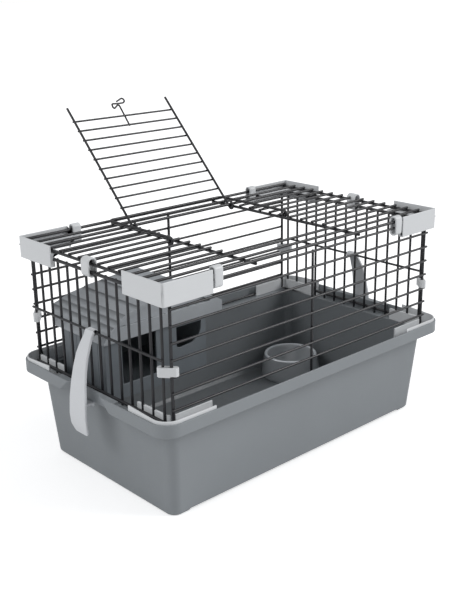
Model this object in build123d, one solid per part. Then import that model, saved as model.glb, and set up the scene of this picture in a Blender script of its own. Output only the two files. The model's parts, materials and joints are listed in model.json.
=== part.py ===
from build123d import *
import math
import os

os.makedirs("parts", exist_ok=True)

# Small animal cage. Millimetres, +Z up, +X along the long side to the right, front face at -Y.
# The origin is under the middle of the wire walls, z = 0 is the table.

# Wire sizes
WIRE = 3.3              # uprights and side rows
ROW = 3.0               # rows of the long panels
BAR = 4.0               # thicker end uprights of the long panels
TOP_WIRE = 3.6          # cross wires of the roof
EDGE = 4.2              # roof edge, opening, hinge and handle wires
DOOR_SIDE = 3.6
DOOR_BAR = 2.7
THIN = 2.3              # door catch
HANDLE_WIRE = 3.6
FIT = 0.3               # gap between pieces that move on each other
OCT = 1 / math.cos(math.pi / 8)

# Tub
BODY_X, BODY_Y, BODY_R = 265.0, 152.5, 16.0     # half length, half width, corner radius under the rim
TUB_Y = -4.5            # the tub reaches a little further to the front than to the back
DRAFT_X, DRAFT_Y = 9.0, 12.0                    # how much narrower the tub is at the bottom
RIM_OUT_X, RIM_OUT_Y, RIM_R = 24.5, 19.5, 27.0  # how far the rim stands out past the body
RIM_TOP = 153.3
RIM_H = 18.3
LIP = 2.6
TUB_WALL = 2.6
SHELF_DROP, SHELF_T = 15.6, 2.5
FLOOR_TOP = 10.0
ARCH_H, FOOT_LEN = 4.0, 30.0                    # the long edges are raised between the end feet
SCOOP_TOP, SCOOP_LOW, SCOOP_DEEP = 38.0, 62.0, 8.0

RIM_LOW = RIM_TOP - RIM_H
SHELF_TOP = RIM_TOP - SHELF_DROP
RIM_X, RIM_Y = BODY_X + RIM_OUT_X, BODY_Y + RIM_OUT_Y

# Wire walls
PITCH = 22.6
LONG_ROWS = 9
SHORT_N = 14
SHORT_X = BODY_X                        # uprights of the short panels
LONG_Y = BODY_Y + 3.1                   # uprights of the long panels
LONG_X = SHORT_X - 7.0                  # end uprights of the long panels
BACK_MID_X = -4.5
BOTTOM_Z = SHELF_TOP + 3.3
SHORT_LOW_Z = RIM_TOP - 6.3             # lowest row of the short panels
TOP_Z = BOTTOM_Z + PITCH * (LONG_ROWS - 1) + 9.2
SHORT_TOP = TOP_Z - 14.5
LATCH_Z = BOTTOM_Z + PITCH * 4
SHORT_STEP = (LONG_Y - 8.7) * 2 / (SHORT_N - 1)
LONG_ROW_Y = LONG_Y + (WIRE + ROW) / 2  # crossing wires are welded flat on flat
SHORT_ROW_X = SHORT_X + WIRE

# Roof panel
TOP_X, TOP_Y = SHORT_X + 1.0, LONG_Y + 2.4
TOP_CELLS = 14
HINGE_Y, REAR_Y = TOP_Y - 47.5, TOP_Y - 24.5
DOOR_L, DOOR_R = -107.5, 90.3
OPEN_L, OPEN_R = DOOR_L - 5.5, DOOR_R + 4.7
STUB = 3.2              # how far the cut wires reach past the opening wires

# Door
DOOR_LEAN = 46.2        # degrees back from level
DOOR_LEN = HINGE_Y + 117.2
DOOR_BARS = 10
DOOR_FIRST = 36.7
DOOR_STEP = (DOOR_LEN - DOOR_FIRST - 25.2) / (DOOR_BARS - 1)
DOOR_UP = EDGE / 2 * OCT + FIT + DOOR_SIDE / 2

# Handle
HANDLE_L, HANDLE_R = OPEN_L - 14.5, OPEN_R + 8.0
HANDLE_Y = 0.0
HANDLE_REACH = TOP_Y - 11.0
HANDLE_EYE = EDGE / 2 + 0.7

# Caps, rails, clips, rings
CAP_X, CAP_Y = SHORT_X + 10.0, LONG_Y + 8.0
CAP_LOW, CAP_TOP = TOP_Z - 25.6, TOP_Z + 5.8
CAP_WALL = 2.3
CAP_LEG_X, CAP_LEG_Y = 83.0, 81.5
CAP_WEB_Z, CAP_WEB_T, CAP_WEB_W = TOP_Z - 7.7, 1.5, 21.0
RAIL_LEG_X, RAIL_LEG_Y, RAIL_MORE = 87.0, 76.0, 8.0
RAIL_TOP, RAIL_IN_TOP, RAIL_T = RIM_TOP + 7.2, RIM_TOP + 3.2, 2.2
CLIP_Z, CLIP_H = (BOTTOM_Z + TOP_Z) / 2 - 20.5, 13.0
RING_Z, RING_H, RING_D, RING_T = TOP_Z - 7.5, 27.5, 11.6, 2.6
RING_W, SHORT_RING_W, SHORT_RING_D = 14.0, 17.0, 15.0
RING_X = SHORT_X - 83.0

# Latch
LATCH_HOOK_W = 15.0
LATCH_TOP_W = 18.0      # width above the hinge wire, so it swings between the uprights
LATCH_W = 38.0          # width of the blade near its lower end

# Hide house
H_X0, H_X1 = -SHORT_X + 15.0, -65.0
H_Y0, H_Y1 = 0.0, LONG_Y - 14.6
H_Z0, H_Z1 = RIM_TOP - 35.3, RIM_TOP + 53.7
H_WALL = 3.0
H_CUT_X, H_CUT_Y = 24.0, 38.0           # slanted back left corner of the walls
DOOR_A, DOOR_B, DOOR_SILL = 29.0, 90.0, 21.0    # doorway, measured from the left wall and the house floor
WIN_A, WIN_B, WIN_LOW, WIN_HIGH = 128.0, 176.0, 48.0, 81.0
EAVE_OUT, EAVE_R_OUT = 4.5, 29.0        # overhang left and right
EAVE_FRONT, EAVE_BACK = 5.5, 7.0
FASCIA_L, FASCIA_R = 15.5, 20.5         # height of the roof edge over the wall tops, left and right
ROOF_RISE = 65.0
RIDGE_AT = 0.70                         # ridge position along the walls
RIDGE_BACK = 47.0                       # how far the ridge stops short of the back wall
ROOF_T = 3.0
LAP = 1.3

# Bowl
BOWL_X, BOWL_Y = 197.0, 74.0
BOWL_RIM_R, BOWL_BASE_R, BOWL_H = 45.5, 52.0, 41.0


def save(shape, name):
    export_step(shape, f"parts/{name}.step")


def wire_face(plane, d):
    # eight-sided section whose flats face the wires it crosses
    return plane * RegularPolygon(d / 2, 8, major_radius=False, rotation=22.5)


def rod(a, b, d=WIRE, pivot=False):
    # a wire that something turns on is round, and so is a bore
    a, b = Vector(*a), Vector(*b)
    axis = b - a
    side = (0, 1, 0) if abs(axis.X) > abs(axis.Y) + abs(axis.Z) else (1, 0, 0)
    plane = Plane(origin=a, x_dir=side, z_dir=axis)
    face = plane * Circle(d / 2) if pivot else wire_face(plane, d)
    return extrude(face, amount=axis.length)


def bent_wire(points, d, bend, side):
    line = FilletPolyline(*points, radius=bend) if bend else Polyline(*points)
    plane = Plane(origin=line @ 0, x_dir=side, z_dir=line % 0)
    kind = Transition.TRANSFORMED if bend else Transition.RIGHT
    return sweep(wire_face(plane, d), path=line, transition=kind)


def box(x0, x1, y0, y1, z0, z1):
    return Pos((x0 + x1) / 2, (y0 + y1) / 2, (z0 + z1) / 2) * Box(x1 - x0, y1 - y0, z1 - z0)


def prism(pts, y0, y1):
    face = Plane.XZ.offset(-y1) * Polygon(*pts, align=None)
    return extrude(face, amount=y1 - y0, dir=(0, -1, 0))


def column(pts, z0, z1):
    return extrude(Pos(0, 0, z0) * Polygon(*pts, align=None), amount=z1 - z0, dir=(0, 0, 1))


def join(items):
    first, rest = items[0], items[1:]
    return first.fuse(*rest) if rest else first


def outline(x, y, r, z, cy=0.0):
    return Pos(0, cy, z) * RectangleRounded(2 * x, 2 * y, r)


def slab(x, y, r, z0, z1, cy=0.0):
    return extrude(outline(x, y, r, z0, cy), amount=z1 - z0)


def turned(shape, sx, sy):
    if sx < 0:
        shape = mirror(shape, about=Plane.YZ)
    if sy < 0:
        shape = mirror(shape, about=Plane.XZ)
    return shape


# Tub
def tub():
    def section(z, off):
        t = 1 - z / SHELF_TOP
        return outline(BODY_X - DRAFT_X * t - off, BODY_Y - DRAFT_Y * t - off, BODY_R - off, z, TUB_Y)

    outer = loft([section(0, 3.0), section(3.5, 0), section(SHELF_TOP, 0)], ruled=True)
    inner = loft([section(FLOOR_TOP, TUB_WALL + 4), section(FLOOR_TOP + 5, TUB_WALL),
                  section(SHELF_TOP + 3, TUB_WALL)], ruled=True)
    outer -= box(-BODY_X + DRAFT_X + FOOT_LEN, BODY_X - DRAFT_X - FOOT_LEN, -2 * BODY_Y, 2 * BODY_Y,
                 -1, ARCH_H)
    rim = slab(RIM_X, RIM_Y, RIM_R, RIM_LOW, RIM_TOP, TUB_Y)
    rim -= slab(RIM_X - LIP, RIM_Y - LIP, RIM_R - LIP, SHELF_TOP, RIM_TOP + 1, TUB_Y)
    rim -= slab(RIM_X - LIP, RIM_Y - LIP, RIM_R - LIP, RIM_LOW - 1, SHELF_TOP - SHELF_T, TUB_Y)
    rim -= slab(BODY_X - 1, BODY_Y - 1, BODY_R, RIM_LOW - 1, RIM_TOP + 1, TUB_Y)
    shape = outer + rim
    # local backing behind the two latch scoops
    for s in (-1, 1):
        xa, xb = sorted((s * (RIM_X - 1), s * (RIM_X - LIP - SCOOP_DEEP)))
        shape += box(xa, xb, -SCOOP_LOW - 4, SCOOP_LOW + 4, SHELF_TOP - SHELF_T, RIM_TOP)
    shape -= inner
    for s in (-1, 1):
        pl = Plane(origin=(s * (RIM_X + 1), 0, 0), x_dir=(0, 1, 0), z_dir=(-s, 0, 0))
        pts = [(-SCOOP_TOP, RIM_TOP + 1), (SCOOP_TOP, RIM_TOP + 1),
               (SCOOP_LOW, RIM_LOW - 1), (-SCOOP_LOW, RIM_LOW - 1)]
        w0 = pl * Polygon(*[(-s * y, z) for y, z in pts], align=None)
        w1 = pl.offset(SCOOP_DEEP + 1) * Polygon(*[(-s * y * 0.72, z) for y, z in pts], align=None)
        shape -= loft([w0, w1], ruled=True)
    return shape


save(tub(), "tub")


# Wire walls
def long_rows():
    return [BOTTOM_Z + PITCH * k for k in range(LONG_ROWS)]


def long_panel(s, mid):
    rows = long_rows()
    y_up, y_row = s * LONG_Y, s * LONG_ROW_Y
    parts = [rod((-LONG_X - 4, y_row, z), (LONG_X + 4, y_row, z), ROW) for z in rows]
    for x, d in ((-LONG_X, BAR), (mid, WIRE), (LONG_X, BAR)):
        parts.append(rod((x, y_up, rows[0] - ROW / 2), (x, y_up, rows[-1] + ROW / 2), d))
    return join(parts)


save(long_panel(-1, 0.0), "front_panel")
save(long_panel(1, BACK_MID_X), "back_panel")


def upright_ys():
    half = SHORT_STEP * (SHORT_N - 1) / 2
    return [-half + SHORT_STEP * k for k in range(SHORT_N)]


def short_panel(s):
    ys = upright_ys()
    x_up, x_row = s * SHORT_X, s * SHORT_ROW_X
    parts = [rod((x_up, y, BOTTOM_Z - ROW / 2), (x_up, y, SHORT_TOP + WIRE / 2)) for y in ys]
    for z in (SHORT_LOW_Z, LATCH_Z, SHORT_TOP):
        parts.append(rod((x_row, ys[0] - 3.5, z), (x_row, ys[-1] + 3.5, z)))
    return join(parts)


save(short_panel(-1), "left_panel")
save(short_panel(1), "right_panel")


# Roof panel with the door opening, one welded grid saved in four parts that meet in the long wires
def roof_ys():
    ys = [(k - TOP_CELLS / 2) * 2 * TOP_Y / TOP_CELLS for k in range(TOP_CELLS + 1)]
    ys[-2], ys[-3] = REAR_Y, HINGE_Y
    return ys


ROOF_Y = roof_ys()
ROOF_FRONT, ROOF_BACK = ROOF_Y[2] + 4.0, HINGE_Y - 4.0      # where the four parts meet


def roof_part(x_long, x0, x1, y0, y1):
    z_under = TOP_Z - (TOP_WIRE + EDGE) / 2
    parts = [rod((x, y0, z_under), (x, y1, z_under), EDGE) for x in x_long]
    for y in ROOF_Y:
        if y0 < y < y1:
            d = EDGE if y in (ROOF_Y[0], HANDLE_Y, HINGE_Y, ROOF_Y[-1]) else TOP_WIRE
            parts.append(rod((x0, y, TOP_Z), (x1, y, TOP_Z), d, y in (HINGE_Y, HANDLE_Y)))
    return join(parts)


ROOF_X = (-TOP_X, OPEN_L, OPEN_R, TOP_X)
save(roof_part(ROOF_X, -TOP_X - 3, TOP_X + 3, -TOP_Y - 2, ROOF_FRONT), "top_panel_front")
save(roof_part(ROOF_X, -TOP_X - 3, TOP_X + 3, ROOF_BACK, TOP_Y + 2), "top_panel_back")
save(roof_part(ROOF_X[:2], -TOP_X - 3, OPEN_L + STUB, ROOF_FRONT, ROOF_BACK), "top_panel_left")
save(roof_part(ROOF_X[2:], OPEN_R - STUB, TOP_X + 3, ROOF_FRONT, ROOF_BACK), "top_panel_right")


# Door, modelled shut and then swung back to its open rest position
def shut_door():
    zc = TOP_Z + DOOR_UP
    z_bar = zc + (DOOR_SIDE + DOOR_BAR) / 2
    parts = []
    for x in (DOOR_L, DOOR_R):
        # each side wire runs past the hinge wire and hooks back under it
        far, low = HINGE_Y + DOOR_UP + 3.2, zc - 2 * DOOR_UP
        pts = [(x, HINGE_Y - DOOR_LEN, zc), (x, far - 2.6, zc), (x, far, zc - 2.6), (x, far, low + 2.6),
               (x, far - 2.6, low), (x, HINGE_Y - 4.0, low)]
        parts.append(bent_wire(pts, DOOR_SIDE, 0, (1, 0, 0)))
    for k in range(DOOR_BARS):
        y = HINGE_Y - DOOR_FIRST - DOOR_STEP * k
        parts.append(rod((DOOR_L - 2.4, y, z_bar), (DOOR_R + 2.4, y, z_bar), DOOR_BAR))
    return join(parts)


def catch_wire():
    z = TOP_Z + DOOR_UP + DOOR_SIDE / 2 + DOOR_BAR + THIN / 2
    pts = [(-7, -44.5), (-7, -0.5), (3, 2.0), (8, 6.0), (7, 12.5), (-8, 6.0), (-17, 3.0), (-21, -0.5),
           (-21.5, -7.5), (-11.5, -1.3)]
    pts = [(x, HINGE_Y - DOOR_LEN - u, z) for x, u in pts]
    return bent_wire(pts, THIN, 0, (1, 0, 0))


def opened(shape):
    return shape.rotate(Axis((0, HINGE_Y, TOP_Z), (1, 0, 0)), -(180 - DOOR_LEAN))


save(opened(shut_door()), "door")
save(opened(catch_wire()), "door_catch")


# Folded carrying handle
def handle():
    arm = HANDLE_EYE + HANDLE_WIRE / 2
    z, end = TOP_Z + arm, HANDLE_Y + HANDLE_REACH
    pts = [(HANDLE_L, HANDLE_Y, z), (HANDLE_L, end, z), (HANDLE_R, end, z), (HANDLE_R, HANDLE_Y, z)]
    parts = [bent_wire(pts, HANDLE_WIRE, 9.0, (1, 0, 0))]
    for x in (HANDLE_L, HANDLE_R):
        loop = [(x, HANDLE_Y + arm * math.sin(math.radians(a)), TOP_Z + arm * math.cos(math.radians(a)))
                for a in (0, -43, -86, -129, -172, -215, -258)]
        loop[0] = (x, HANDLE_Y + 1.0, TOP_Z + arm)
        parts.append(bent_wire(loop, HANDLE_WIRE, 0, (1, 0, 0)))
    return join(parts)


save(handle(), "handle")


# White corner caps over the four upper corners
def cap():
    x, y = CAP_X, CAP_Y
    outer = box(x - CAP_LEG_X, x, y - CAP_LEG_Y, y, CAP_LOW, CAP_TOP)
    outer = fillet(outer.edges().filter_by(Axis.Z).group_by(Axis.X)[-1].group_by(Axis.Y)[-1], 4.0)
    wall = outer - box(x - CAP_LEG_X - 1, x - CAP_WALL, y - CAP_LEG_Y - 1, y - CAP_WALL,
                       CAP_LOW - 1, CAP_TOP + 1)
    web = box(x - CAP_LEG_X, x - 1, y - CAP_LEG_Y, y - 1, CAP_WEB_Z, CAP_WEB_Z + CAP_WEB_T)
    web -= box(x - CAP_LEG_X - 1, x - CAP_WEB_W, y - CAP_LEG_Y - 1, y - CAP_WEB_W,
               CAP_WEB_Z - 1, CAP_WEB_Z + CAP_WEB_T + 1)
    for a, b, c, d in ((x - CAP_LEG_X, x - CAP_LEG_X + 2, y - 8, y - 1),
                       (x - 8, x - 1, y - CAP_LEG_Y, y - CAP_LEG_Y + 2)):
        web += box(a, b, c, d, CAP_LOW, CAP_WEB_Z + 0.5)
    row, half = long_rows()[-1], ROW / 2 + FIT
    web -= box(x - CAP_LEG_X - 1, x - CAP_LEG_X + 4, LONG_ROW_Y - 3, LONG_ROW_Y + half,
               row - half, CAP_WEB_Z)
    half = WIRE / 2 + FIT
    web -= box(SHORT_ROW_X - 3, SHORT_ROW_X + half, y - CAP_LEG_Y - 1, y - CAP_LEG_Y + 4,
               SHORT_TOP - half, SHORT_TOP + half)
    return wall + web


CAP = cap()
for nm, sx, sy in (("cap_fl", -1, -1), ("cap_fr", 1, -1), ("cap_bl", -1, 1), ("cap_br", 1, 1)):
    save(turned(CAP, sx, sy), nm)


# White corner rails in the rim channel
def rail(sy):
    xo, yo = RIM_X - LIP, RIM_Y - LIP + sy * TUB_Y
    r = RIM_R - LIP
    x_in, y_in = SHORT_X - 1.2, LONG_Y - 1.2
    z_floor = BOTTOM_Z - ROW / 2

    def reach(more):
        return box(xo - RAIL_LEG_X - more, xo + 1, yo - RAIL_LEG_Y - more, yo + 1, SHELF_TOP - 1,
                   RAIL_TOP + 9)

    base = slab(xo, yo, r, SHELF_TOP, z_floor) - slab(x_in, y_in, 12.0, SHELF_TOP - 1, RIM_TOP)
    out = slab(xo, yo, r, SHELF_TOP, RAIL_TOP) - slab(xo - RAIL_T, yo - RAIL_T, r - RAIL_T,
                                                      SHELF_TOP - 1, RAIL_TOP + 1)
    up = slab(x_in + RAIL_T, y_in + RAIL_T, 14.0, SHELF_TOP, RAIL_IN_TOP)
    up -= slab(x_in, y_in, 12.0, SHELF_TOP - 1, RAIL_IN_TOP + 1)
    shape = (base & reach(RAIL_MORE)) + (out & reach(0)) + (up & reach(RAIL_MORE))
    # room for the uprights and for the lowest wires of both panels
    side, top = WIRE / 2 + 0.5, RAIL_IN_TOP + 1
    for yv in [v for v in upright_ys() if v > 0]:
        shape -= box(SHORT_X - 4, SHORT_X + side, yv - side, yv + side, z_floor, top)
    side = BAR / 2 + 0.5
    shape -= box(LONG_X - side, LONG_X + side, LONG_Y - 4, LONG_Y + side, z_floor, top)
    end = upright_ys()[-1] + 4.2
    shape -= box(SHORT_X + 0.95, SHORT_ROW_X + WIRE / 2 + 0.5, -1, end, z_floor, top)
    shape -= box(-1, LONG_X + 4.7, LONG_Y + 0.95, LONG_ROW_Y + ROW / 2 + 0.5, z_floor, top)
    solids = sorted(shape.solids(), key=lambda q: q.volume)
    return solids[-1]


FRONT_RAIL, BACK_RAIL = rail(-1), rail(1)
for nm, shape, sx, sy in (("rail_fl", FRONT_RAIL, -1, -1), ("rail_fr", FRONT_RAIL, 1, -1),
                          ("rail_bl", BACK_RAIL, -1, 1), ("rail_br", BACK_RAIL, 1, 1)):
    save(turned(shape, sx, sy), nm)


# Upright clips that tie two panels together at each corner
def corner_clip():
    ax, ay = LONG_X, LONG_Y
    bx, by = SHORT_X, upright_ys()[-1]
    ang = math.degrees(math.atan2(ay - by, ax - bx))
    half = math.hypot(ax - bx, ay - by) / 2
    spot = Pos((ax + bx) / 2, (ay + by) / 2, CLIP_Z) * Rot(0, 0, ang)
    face = chamfer(Rectangle(2 * half + 16.5, 9.4).vertices(), 2.6)
    shape = spot * Pos(0.8, 0, -CLIP_H / 2) * extrude(face, amount=CLIP_H)
    shape -= spot * Box(2 * half - 5.0, 3.4, CLIP_H + 2)
    for px, py, d in ((ax, ay, BAR), (bx, by, WIRE)):
        shape -= rod((px, py, CLIP_Z - CLIP_H), (px, py, CLIP_Z + CLIP_H), d)
    # the row wires of the long panels cross the clip
    for z in long_rows():
        if abs(z - CLIP_Z) < CLIP_H / 2 + 2:
            shape -= box(LONG_X - 20, LONG_X + 4.3, LONG_Y + 1.0, LONG_Y + 9, z - ROW / 2 - 0.2,
                         z + ROW / 2 + 0.2)
    return shape


CLIP = corner_clip()
for nm, sx, sy in (("corner_clip_fl", -1, -1), ("corner_clip_fr", 1, -1),
                   ("corner_clip_bl", -1, 1), ("corner_clip_br", 1, 1)):
    save(turned(CLIP, sx, sy), nm)


# Oval rings that tie the roof to the wall below it
def ring(depth, length):
    face = chamfer(Rectangle(depth, RING_H).vertices(), depth * 0.27)
    hole = chamfer(Rectangle(depth - 2 * RING_T, RING_H - 2 * RING_T).vertices(), (depth - 2 * RING_T) * 0.24)
    return Pos(-length / 2, 0, 0) * extrude(Plane.YZ * (face - hole), amount=length)


LONG_RING = ring(RING_D, RING_W)
RING_Y = LONG_Y + 1.9
for nm, x, y in (("ring_front_l", -RING_X, -RING_Y), ("ring_front_r", RING_X, -RING_Y),
                 ("ring_back_l", -RING_X, RING_Y), ("ring_back_r", RING_X, RING_Y)):
    save(Pos(x, y, RING_Z) * LONG_RING, nm)
SIDE_RING = Pos(SHORT_X + 3.0, -1.5, RING_Z) * Rot(0, 0, 90) * ring(SHORT_RING_D, SHORT_RING_W)
wide = TOP_WIRE / 2 * OCT + FIT
SIDE_RING -= box(TOP_X - 20, TOP_X + 3.4, -wide, wide, TOP_Z - wide, TOP_Z + wide)
save(SIDE_RING, "ring_right")
save(mirror(SIDE_RING, about=Plane.YZ), "ring_left")


# Side latches: a bowed blade hooked on the middle wire of the short panel
def latch():
    ex, ez = SHORT_ROW_X, LATCH_Z
    outer = [(4.8, 4.6), (13.4, -12.4), (20.6, -28.4), (25.5, -47.4), (29.2, -67.4), (31.9, -89.4),
             (33.6, -114.4), (32.6, -129.4), (28.3, -143.0)]
    inner = [(25.6, -140.8), (29.2, -127.8), (29.6, -113.4), (27.9, -89.4), (25.2, -67.4), (21.6, -48.4),
             (17.2, -31.4), (10.4, -15.4), (1.6, 0.6)]
    outer = [(ex + a, ez + b) for a, b in outer]
    inner = [(ex + a, ez + b) for a, b in inner]
    body = prism(outer + inner, -LATCH_W, LATCH_W)
    # the blade widens towards its lower end and closes in a round tip
    w, n = LATCH_W / 2, LATCH_TOP_W / 2
    side = [(n, ez + 9), (n, ez - 4), (n + 3, ez - 20), (w - 3.5, ez - 58), (w - 0.5, ez - 92), (w, ez - 118),
            (w - 0.6, ez - 132), (w - 4, ez - 140), (w - 9, ez - 146)]
    side = side + [(-a, b) for a, b in reversed(side)]
    body &= Pos(ex - 30, 0, 0) * extrude(Plane.YZ * Polygon(*side, align=None), amount=80, dir=(1, 0, 0))
    # rib that catches under the rim
    z_rib = RIM_LOW - 1.6
    body += box(ex + 9.5, ex + 30.6, -9.0, 9.0, z_rib - 3.6, z_rib)
    body += box(ex + 9.5, ex + 12.6, -9.0, 9.0, z_rib - 6.4, z_rib)
    # hook round the latch wire
    r_in = WIRE / 2 * OCT + FIT
    hook = rod((ex, -LATCH_HOOK_W / 2, ez), (ex, LATCH_HOOK_W / 2, ez), (r_in + 2.8) * 2)
    hook -= box(ex - 12, ex + 9, -20, 20, ez - 12, ez - 2.2)
    body = body + hook
    body -= rod((ex, -LATCH_W, ez), (ex, LATCH_W, ez), WIRE * OCT + 2 * FIT, pivot=True)
    solids = sorted(body.solids(), key=lambda q: q.volume)
    return solids[-1]


LATCH = latch()
save(LATCH, "latch_right")
save(mirror(LATCH, about=Plane.YZ), "latch_left")


# Hide house hung inside on the back panel
def house_walls():
    shape = box(H_X0, H_X1, H_Y0, H_Y1, H_Z0, H_Z1)
    cut = [(H_X0 - 9, H_Y1 - H_CUT_Y), (H_X0, H_Y1 - H_CUT_Y), (H_X0 + H_CUT_X, H_Y1),
           (H_X0 + H_CUT_X, H_Y1 + 9), (H_X0 - 9, H_Y1 + 9)]
    room = box(H_X0 + H_WALL, H_X1 - H_WALL, H_Y0 + H_WALL, H_Y1 - H_WALL, H_Z0 + H_WALL, H_Z1 + 1)
    slant = column(cut, H_Z0 - 1, H_Z1 + 2)
    shape -= slant
    shape -= room - Pos(H_WALL, -H_WALL, 0) * slant
    shape -= box(H_X0 + DOOR_A, H_X0 + DOOR_B, H_Y0 - 1, H_Y0 + H_WALL + 1, H_Z0 + DOOR_SILL, H_Z1 + 1)
    wx0, wx1, wz0, wz1 = H_X0 + WIN_A, H_X0 + WIN_B, H_Z0 + WIN_LOW, H_Z0 + WIN_HIGH
    pts = [(wx0, wz1), (wx1, wz1), (wx1 - 1.0, wz1 - 13), (wx1 - 6, wz0 + 9), (wx1 - 17, wz0 + 2.5),
           (wx0 + 8, wz0), (wx0 + 2, wz0 + 1.5), (wx0, wz0 + 4)]
    shape -= prism(pts, H_Y0 - 1, H_Y0 + H_WALL + 1)
    # board grooves on the left wall
    for k in range(1, 6):
        y = H_Y0 + k * (H_Y1 - H_CUT_Y - H_Y0) / 6
        shape -= box(H_X0 - 1, H_X0 + 0.8, y - 0.8, y + 0.8, H_Z0 + 4, H_Z1 - 4)
    # two hooks over a back panel wire
    zr = long_rows()[2]
    for x in (H_X0 + H_CUT_X + 18, H_X1 - 35):
        shape += box(x - 5, x + 5, H_Y1 - 1, LONG_ROW_Y + 4.4, zr + 2.0, zr + 5.4)
        shape += box(x - 5, x + 5, LONG_ROW_Y + 2.0, LONG_ROW_Y + 4.4, zr - 3.5, zr + 5.4)
        shape += box(x - 5, x + 5, H_Y1 - 1, H_Y1 + 3, zr - 9, zr + 5.4)
    return shape


save(house_walls(), "house_walls")


def lapped(p0, p1, n):
    # a slope drawn as n overlapping courses, each with a small drop at its lower edge
    pts = []
    for k in range(n):
        a = k / n
        x = p0[0] + (p1[0] - p0[0]) * a
        z = p0[1] + (p1[1] - p0[1]) * a
        pts += [(x, z - LAP / 2), (x, z + LAP / 2)] if k else [(x, z + LAP / 2)]
    return pts


def house_roof():
    x0, x1, y0, y1 = H_X0 - EAVE_OUT, H_X1 + EAVE_R_OUT, H_Y0 - EAVE_FRONT, H_Y1 + EAVE_BACK
    ridge_x, ridge_z = H_X0 + (H_X1 - H_X0) * RIDGE_AT, H_Z1 + ROOF_RISE
    low_l, low_r = H_Z1 + FASCIA_L, H_Z1 + FASCIA_R
    knee = (x0 + (ridge_x - x0) * 0.29, low_l + (ridge_z - low_l) * 0.40)
    edge = (x0 + 8.0, low_l)
    ridge = (ridge_x, ridge_z)
    left = lapped(edge, knee, 3) + lapped(knee, ridge, 4)
    right = lapped((x1, low_r - 5), ridge, 5)
    pts = [(x0, H_Z1), (x0, H_Z1 + 3)] + left + [ridge] + right[::-1] + [(x1, H_Z1)]
    solid = prism(pts, y0, y1)
    # the back is hipped in two slopes
    back = H_Y1 - RIDGE_BACK
    bend_y, bend_z = back + (y1 - back) * 0.63, ridge_z - ROOF_RISE * 0.32
    low = ridge_z - ROOF_RISE * 0.71

    def hip(lift):
        face = Plane.YZ * Polygon((back, ridge_z + lift), (bend_y, bend_z + lift), (y1 + 1, low + lift),
                                  (y1 + 40, low + lift), (y1 + 40, ridge_z + 60), (back, ridge_z + 60),
                                  align=None)
        return Pos(x0 - 20, 0, 0) * extrude(face, amount=x1 - x0 + 40, dir=(1, 0, 0))

    # hollow underside with a soffit the walls meet
    t = ROOF_T
    inner = [(x0 + t + 1, H_Z1 + 2.5), (x0 + t + 6, low_l - t - 1), (knee[0] + 2, knee[1] - t - 1.5),
             (ridge_x, ridge_z - t - 2.5), (x1 - t - 1, low_r - t - 6), (x1 - t - 1, H_Z1 + 2.5)]
    cavity = prism(inner, y0 + t + 6, y1 - t) - hip(-t - 2)
    solid -= hip(0)
    slant = [(x0 - 9, y1 - 29), (x0, y1 - 29), (x0 + 18.5, y1), (x0 + 18.5, y1 + 9), (x0 - 9, y1 + 9)]
    slant = column(slant, H_Z1 - 1, H_Z1 + ROOF_RISE + 8)
    solid -= slant
    solid -= cavity - Pos(t + 1, -t - 1, 0) * slant
    solid -= box(H_X0 + 7, H_X1 - 7, H_Y0 + 7, H_Y1 - H_CUT_Y, H_Z1 - 1, H_Z1 + 4)
    # recessed gable face over a ledge
    frame = 6.0
    run_l, run_r = knee[0] - edge[0], x1 - ridge_x
    tri = [(edge[0] + run_l * 0.35 + frame, low_r), (knee[0] + 1, knee[1] - frame),
           (ridge_x, ridge_z - frame * 1.2), (x1 - run_r * 0.2 - frame, low_r)]
    solid -= prism(tri, y0 - 20, y0 + 4.5)
    return solid


save(house_roof(), "house_roof")


# Food bowl
def drafted(r0, r1, z0, z1, sides=40):
    solid = extrude(Pos(0, 0, z0) * RegularPolygon(r0, sides), amount=z1 - z0)
    walls = [f for f in solid.faces() if abs(f.normal_at().Z) < 0.5]
    lean = math.degrees(math.atan2((r0 - r1) * math.cos(math.pi / sides), z1 - z0))
    return draft(walls, neutral_plane=Plane.XY.offset(z0), angle=lean)


def bowl():
    rb, rr, h = BOWL_BASE_R, BOWL_RIM_R, BOWL_H
    shape = drafted(rb - 2, rb, 0, 3) + drafted(rb, rr + 1.5, 3, h - 3) + drafted(rr + 1.5, rr - 1.5, h - 3, h)
    shape -= drafted(rr - 21, rr - 17, 6, 9)
    shape -= drafted(rr - 17, rr - 6, 9, h - 3.5)
    shape -= drafted(rr - 6, rr - 2.5, h - 3.5, h)
    return Pos(BOWL_X, BOWL_Y, FLOOR_TOP) * shape


save(bowl(), "bowl")
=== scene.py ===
import json
import math

import bmesh
import bpy
from mathutils import Matrix, Vector, noise

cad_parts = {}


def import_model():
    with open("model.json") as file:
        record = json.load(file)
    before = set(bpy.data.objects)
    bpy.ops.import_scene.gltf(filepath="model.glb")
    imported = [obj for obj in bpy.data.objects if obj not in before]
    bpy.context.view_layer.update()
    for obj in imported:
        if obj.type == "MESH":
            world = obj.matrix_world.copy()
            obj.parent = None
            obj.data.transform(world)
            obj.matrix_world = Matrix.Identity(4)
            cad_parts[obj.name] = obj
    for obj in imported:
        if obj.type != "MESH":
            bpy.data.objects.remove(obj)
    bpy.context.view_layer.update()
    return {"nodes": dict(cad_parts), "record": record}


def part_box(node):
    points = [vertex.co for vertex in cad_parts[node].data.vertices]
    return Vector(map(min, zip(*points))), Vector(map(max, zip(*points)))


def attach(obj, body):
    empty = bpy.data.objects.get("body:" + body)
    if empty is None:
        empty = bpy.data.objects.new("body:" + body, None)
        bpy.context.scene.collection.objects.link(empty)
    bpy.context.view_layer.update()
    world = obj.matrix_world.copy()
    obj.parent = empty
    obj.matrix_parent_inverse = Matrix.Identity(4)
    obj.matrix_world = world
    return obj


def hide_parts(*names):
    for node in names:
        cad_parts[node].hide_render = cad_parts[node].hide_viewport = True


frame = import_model()

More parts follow.
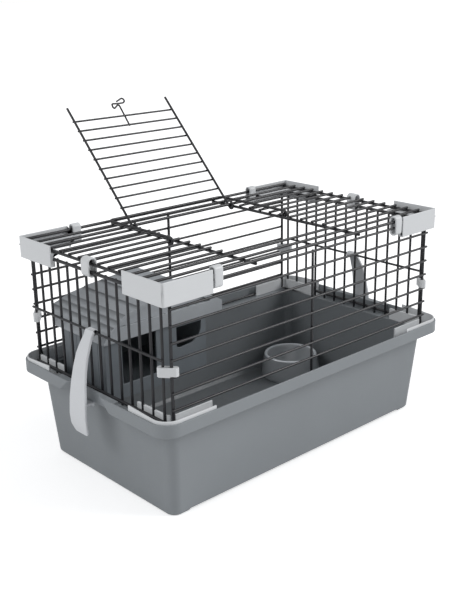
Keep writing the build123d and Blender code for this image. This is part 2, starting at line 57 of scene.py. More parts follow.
MM = 0.001
X_AXIS, Z_AXIS = Vector((1, 0, 0)), Vector((0, 0, 1))

BODY_OF = {n: body for body, nodes in frame["record"]["behaviour"]["bodies"].items() for n in nodes}
SLOT_OF = {p["node"]: p["material_slot"] for p in frame["record"]["subparts"]}
PIVOT = {j["name"]: [v / MM for v in j["pos_m"]]
         for j in frame["record"]["behaviour"]["joints"] if j.get("pos_m")}


def box_of(node):
    # lowest and highest corner of a CAD piece in millimetres, to the nearest thousandth
    return [Vector([round(v / MM, 3) for v in corner]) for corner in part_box(node)]


# Wire thicknesses in millimetres, the same as in the CAD source
WIRE = 3.3              # uprights and side rows
ROW = 3.0               # rows of the long panels
BAR = 4.0               # thicker uprights of the long panels
TOP_WIRE = 3.6          # cross wires of the roof
EDGE = 4.2              # roof edge, opening, hinge and handle wires
DOOR_SIDE = 3.6
DOOR_BAR = 2.7
THIN = 2.3              # door catch
HANDLE_WIRE = 3.6
FULL = 1.08             # corner radius of an eight-sided CAD wire over its half width

# Radii where the photo shows a wire a little fuller than the CAD source has it
LONG_ROW_R = ROW * 0.55
SHORT_UP_R = WIRE * 0.54
SHORT_ROW_R = WIRE * 0.68
DOOR_BAR_R = DOOR_BAR * 0.53
CATCH_R = THIN * 0.58
GRIP_R = HANDLE_WIRE * 0.56

# Tub
tub_lo, tub_hi = box_of("tub")
TUB_Y = (tub_lo.y + tub_hi.y) / 2
RIM_TOP = tub_hi.z
RIM_IN_X, RIM_IN_Y = 26.9, 21.9         # from the rim's outer edge into the thickness of the wall
INNER_X = tub_hi.x - RIM_IN_X
INNER_Y = tub_hi.y - TUB_Y - RIM_IN_Y

# Walls of the cage
front_lo, front_hi = box_of("front_panel")
LONG_ROWS, SHORT_N = 9, 14
ROW_OVER, SHORT_OVER = 4.0, 3.5         # how far the rows run on past the last upright
BOTTOM_Z = front_lo.z + ROW / 2
PITCH = (front_hi.z - front_lo.z - ROW) / (LONG_ROWS - 1)
LONG_X = front_hi.x - ROW_OVER
LONG_ROW_Y = -front_lo.y - ROW / 2
LONG_Y = LONG_ROW_Y - (WIRE + ROW) / 2  # crossing wires are welded flat on flat
BACK_MID_X = -4.5
SHORT_ROW_X, LATCH_Z = PIVOT["latch_right_hinge"][0], PIVOT["latch_right_hinge"][2]
SHORT_X = SHORT_ROW_X - WIRE
SHORT_LOW_Z = RIM_TOP - 6.3
SHORT_TOP = box_of("right_panel")[1].z - WIRE / 2

# Roof
HINGE_Y, TOP_Z = PIVOT["door_hinge"][1:]
HANDLE_Y = PIVOT["handle_hinge"][1]
TOP_OVER, TOP_CELLS = 3.0, 14
TOP_X = box_of("top_panel_back")[1].x - TOP_OVER
TOP_Y = box_of("top_panel_back")[1].y - EDGE / 2
REAR_Y = TOP_Y - 24.5
STUB = 3.2                              # how far the cut wires reach past the opening wires
OPEN_L = box_of("top_panel_left")[1].x - STUB
OPEN_R = box_of("top_panel_right")[0].x + STUB

# Door, measured as it lies when shut
door_lo, door_hi = box_of("door")
CAD_BAR_OVER, BAR_OVER = 2.4, 1.2       # how far the bars run on past the side wires, in CAD and here
DOOR_L, DOOR_R = door_lo.x + CAD_BAR_OVER, door_hi.x - CAD_BAR_OVER
DOOR_LEAN = 46.2                        # degrees back from level
DOOR_LEN = HINGE_Y + 117.2
DOOR_FIRST, DOOR_END, DOOR_BARS = 36.7, 25.2, 10
DOOR_STEP = (DOOR_LEN - DOOR_FIRST - DOOR_END) / (DOOR_BARS - 1)
DOOR_UP = 4.373                         # side wires over the hinge wire, middle to middle
HOOK_PAST, HOOK_TIP = 3.2, 4.0          # how far a hook goes on behind the hinge wire and ends before it
RUN_STEP = 20.0                         # between the points of a side wire
CATCH_BEND = 2.4                        # radius of the catch's bends, at the middle of its wire

# Handle
handle_lo, handle_hi = box_of("handle")
HANDLE_L, HANDLE_R = handle_lo.x + HANDLE_WIRE / 2, handle_hi.x - HANDLE_WIRE / 2
HANDLE_END = handle_hi.y - HANDLE_WIRE / 2
HANDLE_ARM = handle_hi.z - HANDLE_WIRE / 2 - TOP_Z
HANDLE_BEND = 9.0
EYE_START, EYE_TURN, EYE_STEPS = 90, 258, 22        # degrees round the roof wire

# Lapped courses of the house roof, along x
roof_lo, roof_hi = box_of("house_roof")
walls_lo, walls_hi = box_of("house_walls")
RIDGE_X = walls_lo.x + (walls_hi.x - walls_lo.x) * 0.70
KNEE_X = roof_lo.x + (RIDGE_X - roof_lo.x) * 0.29
EAVE_X = roof_lo.x + 8.0


def lapped(start, end, count):
    return [start + (end - start) * k / count for k in range(count)]


LAPS_LEFT = lapped(EAVE_X, KNEE_X, 3)[1:] + lapped(KNEE_X, RIDGE_X, 4)
LAPS_RIGHT = lapped(roof_hi.x, RIDGE_X, 5)[1:]
LAP_SHADE = ((-0.2, 1.0), (0.0, 0.42), (2.2, 0.60), (7.5, 1.0))    # distance below the lap, grey level

# How each set of wires wanders: a seed, and at most how far in millimetres
LONG_ROW_SEED, LONG_ROW_SWAY = 10, 0.35
LONG_UP_SEED, LONG_UP_SWAY = 30, 0.2
SHORT_UP_SEED, SHORT_UP_SWAY = 40, 0.3
SHORT_ROW_SEED, SHORT_ROW_SWAY = 70, 0.15
CROSS_SEED, CROSS_SWAY, PIVOT_SWAY = 90, 0.35, 0.05
PAST_OPENING_SEED = 20
ROOF_LONG_SEED, ROOF_LONG_SWAY = 140, 0.2
DOOR_SEED, DOOR_SWAY = 160, 0.3

# Half sizes of the weld beads
LONG_BEAD_Y, LONG_BEAD_Z = 1.3, 1.7
SHORT_BEAD = (1.2, 1.8, 1.8)
ROOF_BEAD = (2.1, 2.0, 1.2)
DOOR_BEAD = (1.7, 1.4, 1.0)


# Materials
WHITE = (1.0, 1.0, 1.0)
MIX_A, MIX_B, MIX_RESULT = 6, 7, 2      # the colour sockets of Blender's Mix node


def grey(level):
    return (level, level, level)


def scaled(colour, share):
    return tuple(max(0.0, min(1.0, v * share)) for v in colour)


class Shader:
    # a material with one Principled surface, and short calls for the nodes that feed it
    def __init__(self, name):
        self.mat = bpy.data.materials.new(name)
        self.mat.use_nodes = True
        self.tree = self.mat.node_tree
        self.tree.nodes.clear()
        self.coord = self.new("ShaderNodeTexCoord").outputs["Object"]
        self.bsdf = self.new("ShaderNodeBsdfPrincipled")
        self.out = self.new("ShaderNodeOutputMaterial", {"Surface": self.bsdf.outputs[0]})

    def put(self, port, value):
        # a socket takes another node's output or a plain value
        if isinstance(value, bpy.types.NodeSocket):
            self.tree.links.new(value, port)
        else:
            port.default_value = value

    def new(self, kind, sockets=None, **props):
        made = self.tree.nodes.new(kind)
        for name, value in props.items():
            setattr(made, name, value)
        for port, value in (sockets or {}).items():
            self.put(made.inputs[port], value)
        return made

    def surface(self, sockets):
        for port, value in sockets.items():
            self.put(self.bsdf.inputs[port], value)
        return self.mat

    def noise(self, scale, detail=3.0, rough=0.5):
        sockets = {"Scale": scale, "Detail": detail, "Roughness": rough, "Vector": self.coord}
        return self.new("ShaderNodeTexNoise", sockets).outputs["Fac"]

    def ramp(self, value, stops):
        made = self.new("ShaderNodeValToRGB", {"Fac": value})
        elements = made.color_ramp.elements
        while len(elements) < len(stops):
            elements.new(0.5)
        for element, (place, colour) in zip(elements, stops):
            element.position = place
            element.color = (*colour, 1.0)
        return made.outputs["Color"]

    def span(self, value, source, target):
        sockets = {"Value": value, "From Min": source[0], "From Max": source[1],
                   "To Min": target[0], "To Max": target[1]}
        return self.new("ShaderNodeMapRange", sockets).outputs["Result"]

    def mix(self, a, b, factor=1.0, blend="MIX"):
        sockets = {"Factor": factor, MIX_A: a, MIX_B: b}
        return self.new("ShaderNodeMix", sockets, data_type="RGBA", blend_type=blend).outputs[MIX_RESULT]

    def calc(self, what, a, b=0.0):
        return self.new("ShaderNodeMath", {0: a, 1: b}, operation=what).outputs[0]

    def vector(self, what, a, b):
        made = self.new("ShaderNodeVectorMath", {0: a, 1: b}, operation=what)
        return made.outputs["Value" if what == "DOT_PRODUCT" else "Vector"]

    def part(self, vector, axis):
        return self.new("ShaderNodeSeparateXYZ", {0: vector}).outputs[axis]

    def size(self, vector, axis):
        return self.calc("ABSOLUTE", self.part(vector, axis))

    def face_normal(self):
        return self.new("ShaderNodeNewGeometry").outputs["True Normal"]

    def along(self, axis, stops):
        # grey levels along one axis of the frame, each stop with its place in millimetres
        lo, hi = stops[0][0], stops[-1][0]
        place = self.span(self.part(self.coord, axis), (lo * MM, hi * MM), (0.0, 1.0))
        return self.ramp(place, [((at - lo) / (hi - lo), grey(level)) for at, level in stops])

    def facing_into(self, half_x, half_y, mid_y, low):
        # 1 on the faces that look into a box open at the top, 0 elsewhere
        spot = self.vector("SUBTRACT", self.coord, (0.0, mid_y * MM, 0.0))
        level = self.vector("MULTIPLY", self.face_normal(), (1.0, 1.0, 0.0))
        tests = [self.calc("LESS_THAN", self.size(spot, "X"), half_x * MM),
                 self.calc("LESS_THAN", self.size(spot, "Y"), half_y * MM),
                 self.calc("GREATER_THAN", self.part(spot, "Z"), low * MM),
                 self.calc("LESS_THAN", self.vector("DOT_PRODUCT", spot, level), 0.02)]
        every = tests[0]
        for test in tests[1:]:
            every = self.calc("MULTIPLY", every, test)
        return every

    def painted_shadow_under_laps(self, edges, down):
        # painted shadow in the corner under each lapped edge of a slope that falls towards +x or -x,
        # and none on the faces that look along y
        stops = sorted((edge + down * reach, level) for edge in edges for reach, level in LAP_SHADE)
        off_slope = self.calc("GREATER_THAN", self.size(self.face_normal(), "Y"), 0.2)
        return self.mix(self.along("X", stops), (*WHITE, 1.0), factor=off_slope)

    def bump(self, height, strength, distance, after=None):
        made = self.new("ShaderNodeBump", {"Height": height, "Strength": strength, "Distance": distance})
        if after is not None:
            self.put(made.inputs["Normal"], after)
        return made.outputs["Normal"]


def moulded(name, colour, rough=0.42, vary=0.05, spec=0.5, coat=0.0, painted_shades=()):
    # moulded plastic with a cloudy tint, fine grain and a slight wave, multiplied in places by painted
    # shade and painted highlights
    n = Shader(name)
    fine = n.noise(scale=1400.0, detail=2.0, rough=0.6)
    cloud = n.noise(scale=9.0, detail=3.0, rough=0.55)
    tint = n.ramp(cloud, [(0.3, scaled(colour, 1 - vary)), (0.72, scaled(colour, 1 + vary))])
    tint = n.mix(tint, n.ramp(fine, [(0.35, grey(0.95)), (0.65, WHITE)]), blend="MULTIPLY")
    for shade in painted_shades:
        tint = n.mix(tint, shade(n), blend="MULTIPLY")
    wave = n.bump(n.noise(scale=22.0, detail=2.0), strength=0.10, distance=0.0006)
    return n.surface({
        "Base Color": tint,
        "Roughness": n.span(n.noise(scale=35.0), (0.3, 0.7), (rough - 0.05, rough + 0.07)),
        "Normal": n.bump(fine, strength=0.35, distance=0.00004, after=wave),
        "Specular IOR Level": spec,
        "Coat Weight": coat,
        "Coat Roughness": 0.10})


def enamel(name, colour):
    # dipped wire enamel with fine orange peel
    n = Shader(name)
    patch = n.noise(scale=30.0, detail=3.0, rough=0.6)
    peel = n.noise(scale=520.0, detail=3.0, rough=0.55)
    return n.surface({
        "Base Color": n.ramp(patch, [(0.3, scaled(colour, 0.85)), (0.7, scaled(colour, 1.2))]),
        "Roughness": n.span(patch, (0.3, 0.7), (0.30, 0.42)),
        "Normal": n.bump(peel, strength=0.35, distance=0.00008),
        "Specular IOR Level": 0.42,
        "Coat Weight": 0.15,
        "Coat Roughness": 0.25})


def painted_shade_in_tub(n):
    # painted shade: the faces that look into the tub are darker than its outside, standing in for the shade
    # inside it
    looks_in = n.facing_into(INNER_X, INNER_Y, TUB_Y, box_of("bowl")[0].z - 0.5)
    return n.ramp(looks_in, [(0.0, WHITE), (1.0, grey(0.76))])


def bowl_painted_highlights(n):
    # painted highlights: the rolled rim and the foot are paler than the darkened side between them
    foot, rim = box_of("bowl")[0].z, box_of("bowl")[1].z
    return n.along("Z", [(foot, 0.85), (foot + 1.5, 0.85), (foot + 2.4, 0.5), (rim - 2.1, 0.5),
                         (rim - 1.0, 1.0), (rim, 1.0)])


# the tub plastic carries painted shade on the faces inside the tub
TUB = moulded("tub_plastic_grey", (0.258, 0.277, 0.293), rough=0.40, vary=0.03, painted_shades=[painted_shade_in_tub])
PALE = moulded("pale_plastic_grey", (0.72, 0.735, 0.75), rough=0.40, vary=0.025)
LATCH_MAT = moulded("latch_plastic_grey", (0.72, 0.735, 0.76), rough=0.40, vary=0.03)
HOUSE_DARK = moulded("house_wall_plastic", (0.20, 0.222, 0.243), vary=0.06)
# the roof carries a painted shadow under each lapped edge of both slopes
HOUSE_ROOF = moulded("house_roof_plastic_grey", (0.40, 0.423, 0.447),
                     painted_shades=[lambda n: n.painted_shadow_under_laps(LAPS_LEFT, -1), lambda n: n.painted_shadow_under_laps(LAPS_RIGHT, 1)])
# the bowl carries painted highlights on its rim and foot
BOWL = moulded("bowl_plastic_glossy", (0.84, 0.88, 0.92), rough=0.13, vary=0.04, spec=0.7, coat=1.0,
               painted_shades=[bowl_painted_highlights])
ENAMEL = enamel("wire_enamel", (0.020, 0.020, 0.023))


# Mesh helpers, all sizes in millimetres
def new_object(name, bm, mat):
    me = bpy.data.meshes.new(name)
    bm.normal_update()
    bm.to_mesh(me)
    bm.free()
    ob = bpy.data.objects.new(name, me)
    bpy.context.scene.collection.objects.link(ob)
    me.materials.append(mat)
    for p in me.polygons:
        p.use_smooth = True
    return ob


def stand_in(ob, *nodes):
    # the piece moves with the body of the nodes that it replaces, and those nodes are hidden
    body, slot = BODY_OF[nodes[0]], SLOT_OF[nodes[0]]
    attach(ob, body)
    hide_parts(*nodes)


def bridge(bm, a, b):
    # faces between two loops of vertices, where a loop of one vertex is a pole
    count = max(len(a), len(b))
    for k in range(count):
        m = (k + 1) % count
        corners = (a[k % len(a)], a[m % len(a)], b[m % len(b)], b[k % len(b)])
        bm.faces.new(list(dict.fromkeys(corners)))


# Both ends of a wire are slightly rounded, as a cropped and painted wire is.
# Shares of the radius: how far in from the end, and how wide there
WIRE_END = ((0.0, 0.35), (0.154, 0.72), (0.385, 0.93), (0.75, 1.0))


def add_tube(bm, pts, r, sides=14):
    r *= FULL
    pts = [Vector(p) for p in pts]
    n = len(pts)
    tang = [(pts[min(i + 1, n - 1)] - pts[max(i - 1, 0)]).normalized() for i in range(n)]
    u = tang[0].cross(Z_AXIS if abs(tang[0].z) < 0.9 else X_AXIS).normalized()
    frames = []
    for t in tang:
        u = (u - t * u.dot(t)).normalized()
        frames.append((u.copy(), t.cross(u).normalized()))

    def loop(centre, axes, radius):
        return [bm.verts.new((centre + (axes[0] * math.cos(a) + axes[1] * math.sin(a)) * radius) * MM)
                for a in (2 * math.pi * k / sides for k in range(sides))]

    loops = [loop(pts[0] + tang[0] * r * d, frames[0], r * k) for d, k in WIRE_END]
    loops += [loop(p, f, r) for p, f in zip(pts[1:-1], frames[1:-1])]
    loops += [loop(pts[-1] - tang[-1] * r * d, frames[-1], r * k) for d, k in reversed(WIRE_END)]
    for a, b in zip(loops, loops[1:]):
        bridge(bm, a, b)
    bm.faces.new(list(reversed(loops[0])))
    bm.faces.new(loops[-1])


def rounded_path(pts, radius, steps):
    # straight runs joined by arcs, each arc as wide as its corner allows
    pts = [Vector(p) for p in pts]
    out = [pts[0]]
    for a, b, c in zip(pts, pts[1:], pts[2:]):
        to_a, to_c = (a - b).normalized(), (c - b).normalized()
        half = to_a.angle(to_c) / 2
        cut = min(radius / math.tan(half), (a - b).length * 0.49, (c - b).length * 0.49)
        centre = b + (to_a + to_c).normalized() * (cut / math.cos(half))
        start, end = b + to_a * cut - centre, b + to_c * cut - centre
        total = start.angle(end)
        for k in range(steps + 1):
            w = k / steps
            out.append(centre + (start * math.sin((1 - w) * total) + end * math.sin(w * total))
                       / math.sin(total))
    out.append(pts[-1])
    return out


def add_bead(bm, centre, size):
    # weld bead where two wires cross
    for v in bmesh.ops.create_icosphere(bm, subdivisions=1, radius=1.0)["verts"]:
        v.co = Vector(c + s * w for c, s, w in zip(centre, size, v.co)) * MM


ASLANT = Vector((0.3, 0.4, 0.86))       # along no wire, to find two directions across each
SWAY_LENGTH = 0.006                     # noise units per millimetre of wire


def sway(along, seed):
    return noise.noise(Vector((along * SWAY_LENGTH, seed * 3.7, 1.3)))


def wire_points(a, b, seed, most, n=9):
    # a drawn wire is never dead straight: it wanders a few tenths between its ends
    a, b = Vector(a), Vector(b)
    d = (b - a).normalized()
    side = d.cross(ASLANT).normalized()
    up = d.cross(side)
    pts = []
    for k in range(n):
        w = k / (n - 1)
        along = w * (b - a).length
        reach = most * math.sin(math.pi * w)
        pts.append(a.lerp(b, w) + side * sway(along, seed) * reach + up * sway(along, seed + 50) * reach)
    return pts


# Wire walls
def long_panel(node, s, mid_x, mid_d):
    bm = bmesh.new()
    y_up, y_row = s * LONG_Y, s * LONG_ROW_Y
    rows = [BOTTOM_Z + PITCH * k for k in range(LONG_ROWS)]
    low, high = rows[0] - ROW / 2, rows[-1] + ROW / 2
    for i, z in enumerate(rows):
        ends = (-LONG_X - ROW_OVER, y_row, z), (LONG_X + ROW_OVER, y_row, z)
        add_tube(bm, wire_points(*ends, i + LONG_ROW_SEED * s, LONG_ROW_SWAY), LONG_ROW_R)
    for i, (x, d) in enumerate(((-LONG_X, BAR), (mid_x, mid_d), (LONG_X, BAR))):
        ends = (x, y_up, low), (x, y_up, high)
        add_tube(bm, wire_points(*ends, i + LONG_UP_SEED * s, LONG_UP_SWAY), d / 2)
        for z in rows:
            add_bead(bm, (x, y_up + s * d * 0.45, z), (d * 0.55, LONG_BEAD_Y, LONG_BEAD_Z))
    stand_in(new_object(node + "_wires", bm, ENAMEL), node)


def short_panel(node, s):
    bm = bmesh.new()
    x_up, x_row = s * SHORT_X, s * SHORT_ROW_X
    ys = [PITCH * (k - (SHORT_N - 1) / 2) for k in range(SHORT_N)]
    low, high = BOTTOM_Z - ROW / 2, SHORT_TOP + WIRE / 2
    for i, y in enumerate(ys):
        ends = (x_up, y, low), (x_up, y, high)
        add_tube(bm, wire_points(*ends, i + SHORT_UP_SEED * s, SHORT_UP_SWAY), SHORT_UP_R)
    for j, (z, r) in enumerate(((SHORT_LOW_Z, SHORT_ROW_R), (LATCH_Z, WIRE / 2), (SHORT_TOP, SHORT_ROW_R))):
        ends = (x_row, ys[0] - SHORT_OVER, z), (x_row, ys[-1] + SHORT_OVER, z)
        add_tube(bm, wire_points(*ends, j + SHORT_ROW_SEED * s, SHORT_ROW_SWAY), r)
        for y in ys:
            add_bead(bm, ((x_up + x_row) / 2, y, z), SHORT_BEAD)
    stand_in(new_object(node + "_wires", bm, ENAMEL), node)


long_panel("front_panel", -1, 0.0, WIRE)
long_panel("back_panel", 1, BACK_MID_X, BAR)
short_panel("left_panel", -1)
short_panel("right_panel", 1)


# Wire roof round its opening
def top_panel():
    bm = bmesh.new()
    z_under = TOP_Z - (TOP_WIRE + EDGE) / 2
    ys = [(2 * k / TOP_CELLS - 1) * TOP_Y for k in range(TOP_CELLS + 1)]
    ys[TOP_CELLS // 2] = HANDLE_Y
    ys[-2], ys[-3] = REAR_Y, HINGE_Y
    under = (-TOP_X, OPEN_L, OPEN_R, TOP_X)
    end, under_end = TOP_X + TOP_OVER, TOP_Y + 2.0
    for k, y in enumerate(ys):
        cut_by_opening = 3 <= k <= TOP_CELLS - 3
        runs = ((-end, OPEN_L + STUB), (OPEN_R - STUB, end)) if cut_by_opening else ((-end, end),)
        pivot = y in (HINGE_Y, HANDLE_Y)
        d = EDGE if pivot or k in (0, TOP_CELLS) else TOP_WIRE
        sways = PIVOT_SWAY if pivot else CROSS_SWAY
        for i, (a, b) in enumerate(runs):
            seed = k + CROSS_SEED + i * PAST_OPENING_SEED
            add_tube(bm, wire_points((a, y, TOP_Z), (b, y, TOP_Z), seed, sways, n=11), d / 2)
        for x in under:
            add_bead(bm, (x, y, TOP_Z - TOP_WIRE / 2), ROOF_BEAD)
    for j, x in enumerate(under):
        ends = (x, -under_end, z_under), (x, under_end, z_under)
        add_tube(bm, wire_points(*ends, j + ROOF_LONG_SEED, ROOF_LONG_SWAY), EDGE / 2)
    stand_in(new_object("top_panel_wires", bm, ENAMEL),
             "top_panel_front", "top_panel_back", "top_panel_left", "top_panel_right")


top_panel()


# Door and catch, built shut and swung open
def swing(ob):
    pivot = Vector((0, HINGE_Y, TOP_Z)) * MM
    turn = Matrix.Rotation(math.radians(DOOR_LEAN - 180), 4, "X")
    ob.data.transform(Matrix.Translation(pivot) @ turn @ Matrix.Translation(-pivot))


def door():
    z_side = TOP_Z + DOOR_UP
    z_bar = z_side + (DOOR_SIDE + DOOR_BAR) / 2
    far, low = HINGE_Y + DOOR_UP + HOOK_PAST, z_side - 2 * DOOR_UP
    bm = bmesh.new()
    for x in (DOOR_L, DOOR_R):
        run = [(x, HINGE_Y - DOOR_LEN + RUN_STEP * k, z_side) for k in range(10)]
        hook = [(x, HINGE_Y - RUN_STEP, z_side), (x, far, z_side),
                (x, far, low), (x, HINGE_Y - HOOK_TIP, low)]
        add_tube(bm, run + rounded_path(hook, DOOR_UP, 9), DOOR_SIDE / 2)
    for k in range(DOOR_BARS):
        y = HINGE_Y - DOOR_FIRST - DOOR_STEP * k
        ends = (DOOR_L - BAR_OVER, y, z_bar), (DOOR_R + BAR_OVER, y, z_bar)
        add_tube(bm, wire_points(*ends, k + DOOR_SEED, DOOR_SWAY), DOOR_BAR_R)
        for x in (DOOR_L, DOOR_R):
            add_bead(bm, (x, y, z_side + DOOR_SIDE / 2), DOOR_BEAD)
    ob = new_object("door_wires", bm, ENAMEL)
    swing(ob)
    stand_in(ob, "door")


def door_catch():
    # one thin wire over the last bars, bent into two small loops: x, distance past the door's end, lift
    over = THIN * FULL + 0.1            # where the wire crosses over itself
    bends = [(-6.1, -44.5, 0), (-3.9, 0.8, 0), (-16.7, -7.6, 0), (-18.3, -4.6, 0), (-16.2, 2.0, 0.8),
             (-12.3, 4.1, over), (-3.7, 3.4, over), (8.0, 3.6, over), (12.8, 6.4, over), (12.9, 10.8, over),
             (10.0, 13.2, over), (-3.4, 7.4, over)]
    z = TOP_Z + DOOR_UP + DOOR_SIDE / 2 + DOOR_BAR + THIN / 2
    path = rounded_path([(x, HINGE_Y - DOOR_LEN - past, z + lift) for x, past, lift in bends],
                        CATCH_BEND, 6)
    bm = bmesh.new()
    add_tube(bm, path, CATCH_R, sides=12)
    ob = new_object("door_catch_wire", bm, ENAMEL)
    swing(ob)
    stand_in(ob, "door_catch")


door()
door_catch()


# Handle with an eye at each end, bent round its roof wire
def eye(x):
    turns = [math.radians(EYE_START + EYE_TURN * k / EYE_STEPS) for k in range(EYE_STEPS + 1)]
    return [(x, HANDLE_Y + HANDLE_ARM * math.cos(a), TOP_Z + HANDLE_ARM * math.sin(a)) for a in turns]


def handle():
    z = TOP_Z + HANDLE_ARM
    corners = [(HANDLE_L, HANDLE_Y, z), (HANDLE_L, HANDLE_END, z), (HANDLE_R, HANDLE_END, z),
               (HANDLE_R, HANDLE_Y, z)]
    grip = rounded_path(corners, HANDLE_BEND, 8)
    bm = bmesh.new()
    add_tube(bm, eye(HANDLE_L)[::-1] + grip[1:-1] + eye(HANDLE_R), GRIP_R)
    stand_in(new_object("handle_wire", bm, ENAMEL), "handle")


handle()


# Oval rings, a flat band with soft edges bent round a rounded oblong
BAND, BAND_EDGE = 2.6, 0.9              # thickness, radius of the soft edge
BAND_ROUND = 0.92                       # corner radius over half the depth


def arc(cx, cy, r, start, step, count):
    turns = [math.radians(start + step * k) for k in range(count)]
    return [(cx + r * math.cos(a), cy + r * math.sin(a), a) for a in turns]


def ring(node, deeper=0.0, taller=0.0, raised=0.0):
    # the loop stands upright across its wall, and the walls at both ends run along y
    lo, hi = box_of(node)
    middle, size = (lo + hi) / 2, hi - lo
    turned = node in ("ring_left", "ring_right")
    depth, length = (size.x, size.y) if turned else (size.y, size.x)
    a, b = (depth + deeper - BAND) / 2, (size.z + taller - BAND) / 2
    r = a * BAND_ROUND
    path = [place for cx, cz, start in ((a - r, b - r, 0), (r - a, b - r, 90), (r - a, r - b, 180),
                                        (a - r, r - b, 270))
            for place in arc(cx, cz, r, start, 11.25, 9)]
    half_l, half_t = length / 2 - BAND_EDGE, BAND / 2 - BAND_EDGE
    section = [place for x, t, start in ((half_l, half_t, 0), (-half_l, half_t, 90),
                                         (-half_l, -half_t, 180), (half_l, -half_t, 270))
               for place in arc(x, t, BAND_EDGE, start, 30, 4)]
    bm = bmesh.new()
    loops = [[bm.verts.new(Vector((x, y + t * math.cos(a), z + t * math.sin(a))) * MM)
              for x, t, _ in section] for y, z, a in path]
    for p, q in zip(loops, loops[1:] + loops[:1]):
        bridge(bm, p, q)
    bmesh.ops.recalc_face_normals(bm, faces=bm.faces)
    ob = new_object(node + "_band", bm, PALE)
    place = Matrix.Translation((middle + Z_AXIS * raised) * MM)
    ob.data.transform(place @ Matrix.Rotation(math.radians(90 if turned else 0), 4, "Z"))
    stand_in(ob, node)


for node in ("ring_front_l", "ring_front_r", "ring_back_l", "ring_back_r"):
    ring(node, deeper=0.8, taller=2.4, raised=1.4)
ring("ring_right")
ring("ring_left")


# Turned bowl with a thick rolled rim
BOWL_SIDES = 96
BOWL_PROFILE = [(0, 0), (48.6, 0), (50.6, 0.5), (51.7, 1.8), (52.0, 3.4), (51.5, 12.0), (50.5, 20.0),
                (49.2, 27.0), (47.9, 32.5), (47.0, 36.5), (46.7, 38.6), (46.0, 40.1), (44.6, 40.9),
                (43.0, 40.8), (41.4, 39.8), (40.0, 37.8), (39.0, 34.8), (29.3, 10.6), (27.8, 7.8),
                (25.4, 6.3), (22.0, 6.0), (0, 6)]       # radius, height over the floor of the tub


def bowl():
    lo, hi = box_of("bowl")
    foot = Vector(((lo.x + hi.x) / 2, (lo.y + hi.y) / 2, lo.z))
    turns = [2 * math.pi * k / BOWL_SIDES for k in range(BOWL_SIDES)]
    bm = bmesh.new()
    loops = []
    for r, z in BOWL_PROFILE:
        spots = [Vector((r * math.cos(a), r * math.sin(a), z)) for a in (turns if r else turns[:1])]
        loops.append([bm.verts.new((foot + spot) * MM) for spot in spots])
    for a, b in zip(loops, loops[1:]):
        bridge(bm, a, b)
    bmesh.ops.recalc_face_normals(bm, faces=bm.faces)
    ob = new_object("bowl_turned", bm, BOWL)
    ob.data.set_sharp_from_angle(angle=math.radians(50))
    stand_in(ob, "bowl")


bowl()


# Moulded CAD pieces copied with soft edges, so that their corners catch the light
def bevel(bm, edges, width, segments):
    bmesh.ops.bevel(bm, geom=edges, offset=width * MM, offset_type="OFFSET", segments=segments,
                    profile=0.5, affect="EDGES", clamp_overlap=False)


def cad_copy(node):
    bm = bmesh.new()
    bm.from_mesh(frame["nodes"][node].data)
    return bm


def soften(bm, width):
    bmesh.ops.remove_doubles(bm, verts=bm.verts, dist=0.01 * MM)
    bmesh.ops.dissolve_limit(bm, angle_limit=math.radians(0.6), verts=bm.verts, edges=bm.edges)
    sharp = math.radians(26.0)
    edges = [e for e in bm.edges if len(e.link_faces) == 2 and e.calc_face_angle(0) > sharp]
    bevel(bm, edges, width, 3)


def dress(node, bm, mat):
    ob = new_object(node + "_moulded", bm, mat)
    ob.data.set_sharp_from_angle(angle=math.radians(40))
    flat_first = ob.modifiers.new("flat_faces_first", "WEIGHTED_NORMAL")
    flat_first.keep_sharp = True
    stand_in(ob, node)


def soft_piece(node, mat, width):
    bm = cad_copy(node)
    soften(bm, width)
    dress(node, bm, mat)


# Rails: the outer edge lies lower than in CAD, and a thin inner wall passes behind the short panel
EDGE_START, EDGE_LEVEL, EDGE_SHARE = 157.0, RIM_TOP, 0.58
SHORT_END_X, SHORT_END_Y = 260.0, 105.0
PLATE_X, PLATE_END_Y, PLATE_TOP = (262.5, 263.3), 149.0, 156.3


def lower_edge(bm):
    for v in bm.verts:
        x, y, z = v.co / MM
        short_end = abs(x) > SHORT_END_X and abs(y) < SHORT_END_Y
        if z > EDGE_START and not short_end:
            v.co.z = (EDGE_LEVEL + (z - EDGE_LEVEL) * EDGE_SHARE) * MM


def add_plate(bm, xs, ys, zs):
    made = bmesh.ops.create_cube(bm, size=1.0)["verts"]
    for v in made:
        v.co = Vector(span[0] + (w + 0.5) * (span[1] - span[0]) for span, w in zip((xs, ys, zs), v.co)) * MM
    bevel(bm, list({e for v in made for e in v.link_edges}), 0.3, 2)


def rail(node):
    lo, hi = box_of(node)
    side_x, side_y = math.copysign(1, hi.x), math.copysign(1, hi.y)
    start_y = min(abs(lo.y), abs(hi.y))
    bm = cad_copy(node)
    lower_edge(bm)
    soften(bm, 0.8)
    add_plate(bm, sorted(side_x * x for x in PLATE_X), sorted((side_y * start_y, side_y * PLATE_END_Y)),
              (lo.z + 0.4, PLATE_TOP))
    dress(node, bm, PALE)


for node in sorted(frame["nodes"]):
    if node.startswith("cap_"):
        soft_piece(node, PALE, 0.9)
    elif node.startswith("corner_clip_"):
        soft_piece(node, PALE, 0.5)
    elif node.startswith("latch_"):
        soft_piece(node, LATCH_MAT, 1.2)
    elif node.startswith("rail_"):
        rail(node)
soft_piece("house_walls", HOUSE_DARK, 0.5)
soft_piece("house_roof", HOUSE_ROOF, 0.5)
soft_piece("tub", TUB, 0.9)


# Floor and light
def shown_apart(tree, plain, seen, out):
    # rays from the camera meet one shader, all other rays meet the plain one
    path = tree.nodes.new("ShaderNodeLightPath")
    pick = tree.nodes.new("ShaderNodeMixShader")
    tree.links.new(path.outputs["Is Camera Ray"], pick.inputs[0])
    tree.links.new(plain, pick.inputs[1])
    tree.links.new(seen, pick.inputs[2])
    tree.links.new(pick.outputs[0], out.inputs["Surface"])


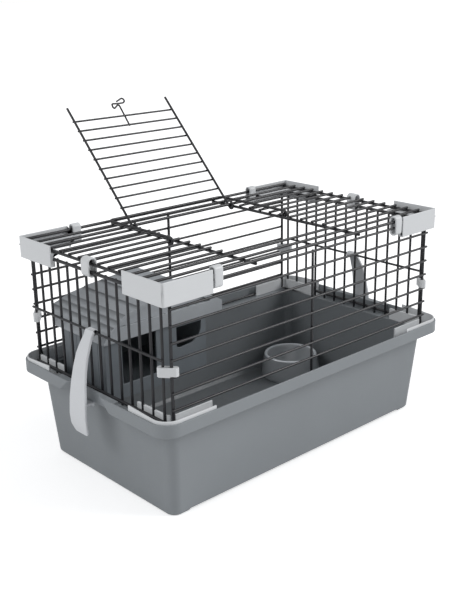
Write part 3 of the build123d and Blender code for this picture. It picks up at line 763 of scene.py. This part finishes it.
def floor():
    # the camera sees the same paper with some white added, so only the object's shadow shows
    n = Shader("floor_paper")
    n.surface({"Base Color": (0.90, 0.90, 0.905, 1), "Roughness": 0.9, "Specular IOR Level": 0.1})
    glow = n.new("ShaderNodeEmission", {"Color": (*WHITE, 1), "Strength": 0.50})
    seen = n.new("ShaderNodeAddShader", {0: n.bsdf.outputs[0], 1: glow.outputs[0]})
    shown_apart(n.tree, n.bsdf.outputs[0], seen.outputs[0], n.out)
    bm = bmesh.new()
    bmesh.ops.create_grid(bm, x_segments=1, y_segments=1, size=30.0)
    ob = new_object("floor", bm, n.mat)
    ob.location = (0, 0, -0.2 * MM)


def background(tree, colour, strength):
    made = tree.nodes.new("ShaderNodeBackground")
    made.inputs["Color"].default_value = (*colour, 1)
    made.inputs["Strength"].default_value = strength
    return made.outputs[0]


def world():
    studio = bpy.data.worlds.new("studio")
    bpy.context.scene.world = studio
    studio.use_nodes = True
    tree = studio.node_tree
    tree.nodes.clear()
    out = tree.nodes.new("ShaderNodeOutputWorld")
    shown_apart(tree, background(tree, (0.97, 0.985, 1.0), 0.46), background(tree, WHITE, 1.0), out)


def sun(name, towards, energy, angle=30):
    data = bpy.data.lights.new(name, "SUN")
    data.energy = energy
    data.angle = math.radians(angle)
    ob = bpy.data.objects.new(name, data)
    bpy.context.scene.collection.objects.link(ob)
    ob.rotation_mode = "QUATERNION"
    ob.rotation_quaternion = (-Vector(towards)).to_track_quat("-Z", "Y")


floor()
world()
sun("from_front_right", (0.74, -0.66, 0.62), 1.50)
sun("from_rear_left", (-0.80, 0.40, 0.70), 0.84)


# Camera, fitted to the photograph
FOCAL_PX, PHOTO_PX, SENSOR = 958.05, 600, 36.0      # focal length and height of the photo in its pixels
CAMERA_AT = Vector((-951.9, -1022.6, 680.2))
CAMERA_RIGHT = Vector((0.73713, -0.67555, -0.01647))
CAMERA_UP = Vector((0.22588, 0.22334, 0.94822))
CAMERA_AHEAD = Vector((0.63689, 0.70267, -0.31722))


def camera():
    data = bpy.data.cameras.new("camera")
    data.sensor_fit = "AUTO"
    data.sensor_width = SENSOR
    data.lens = FOCAL_PX / PHOTO_PX * SENSOR
    data.clip_start = 0.05
    data.clip_end = 60
    cam = bpy.data.objects.new("camera", data)
    bpy.context.scene.collection.objects.link(cam)
    turn = Matrix((CAMERA_RIGHT, CAMERA_UP, -CAMERA_AHEAD)).transposed().to_4x4()
    cam.matrix_world = Matrix.Translation(CAMERA_AT * MM) @ turn
    bpy.context.scene.camera = cam


camera()

bpy.context.scene.view_settings.view_transform = "Standard"
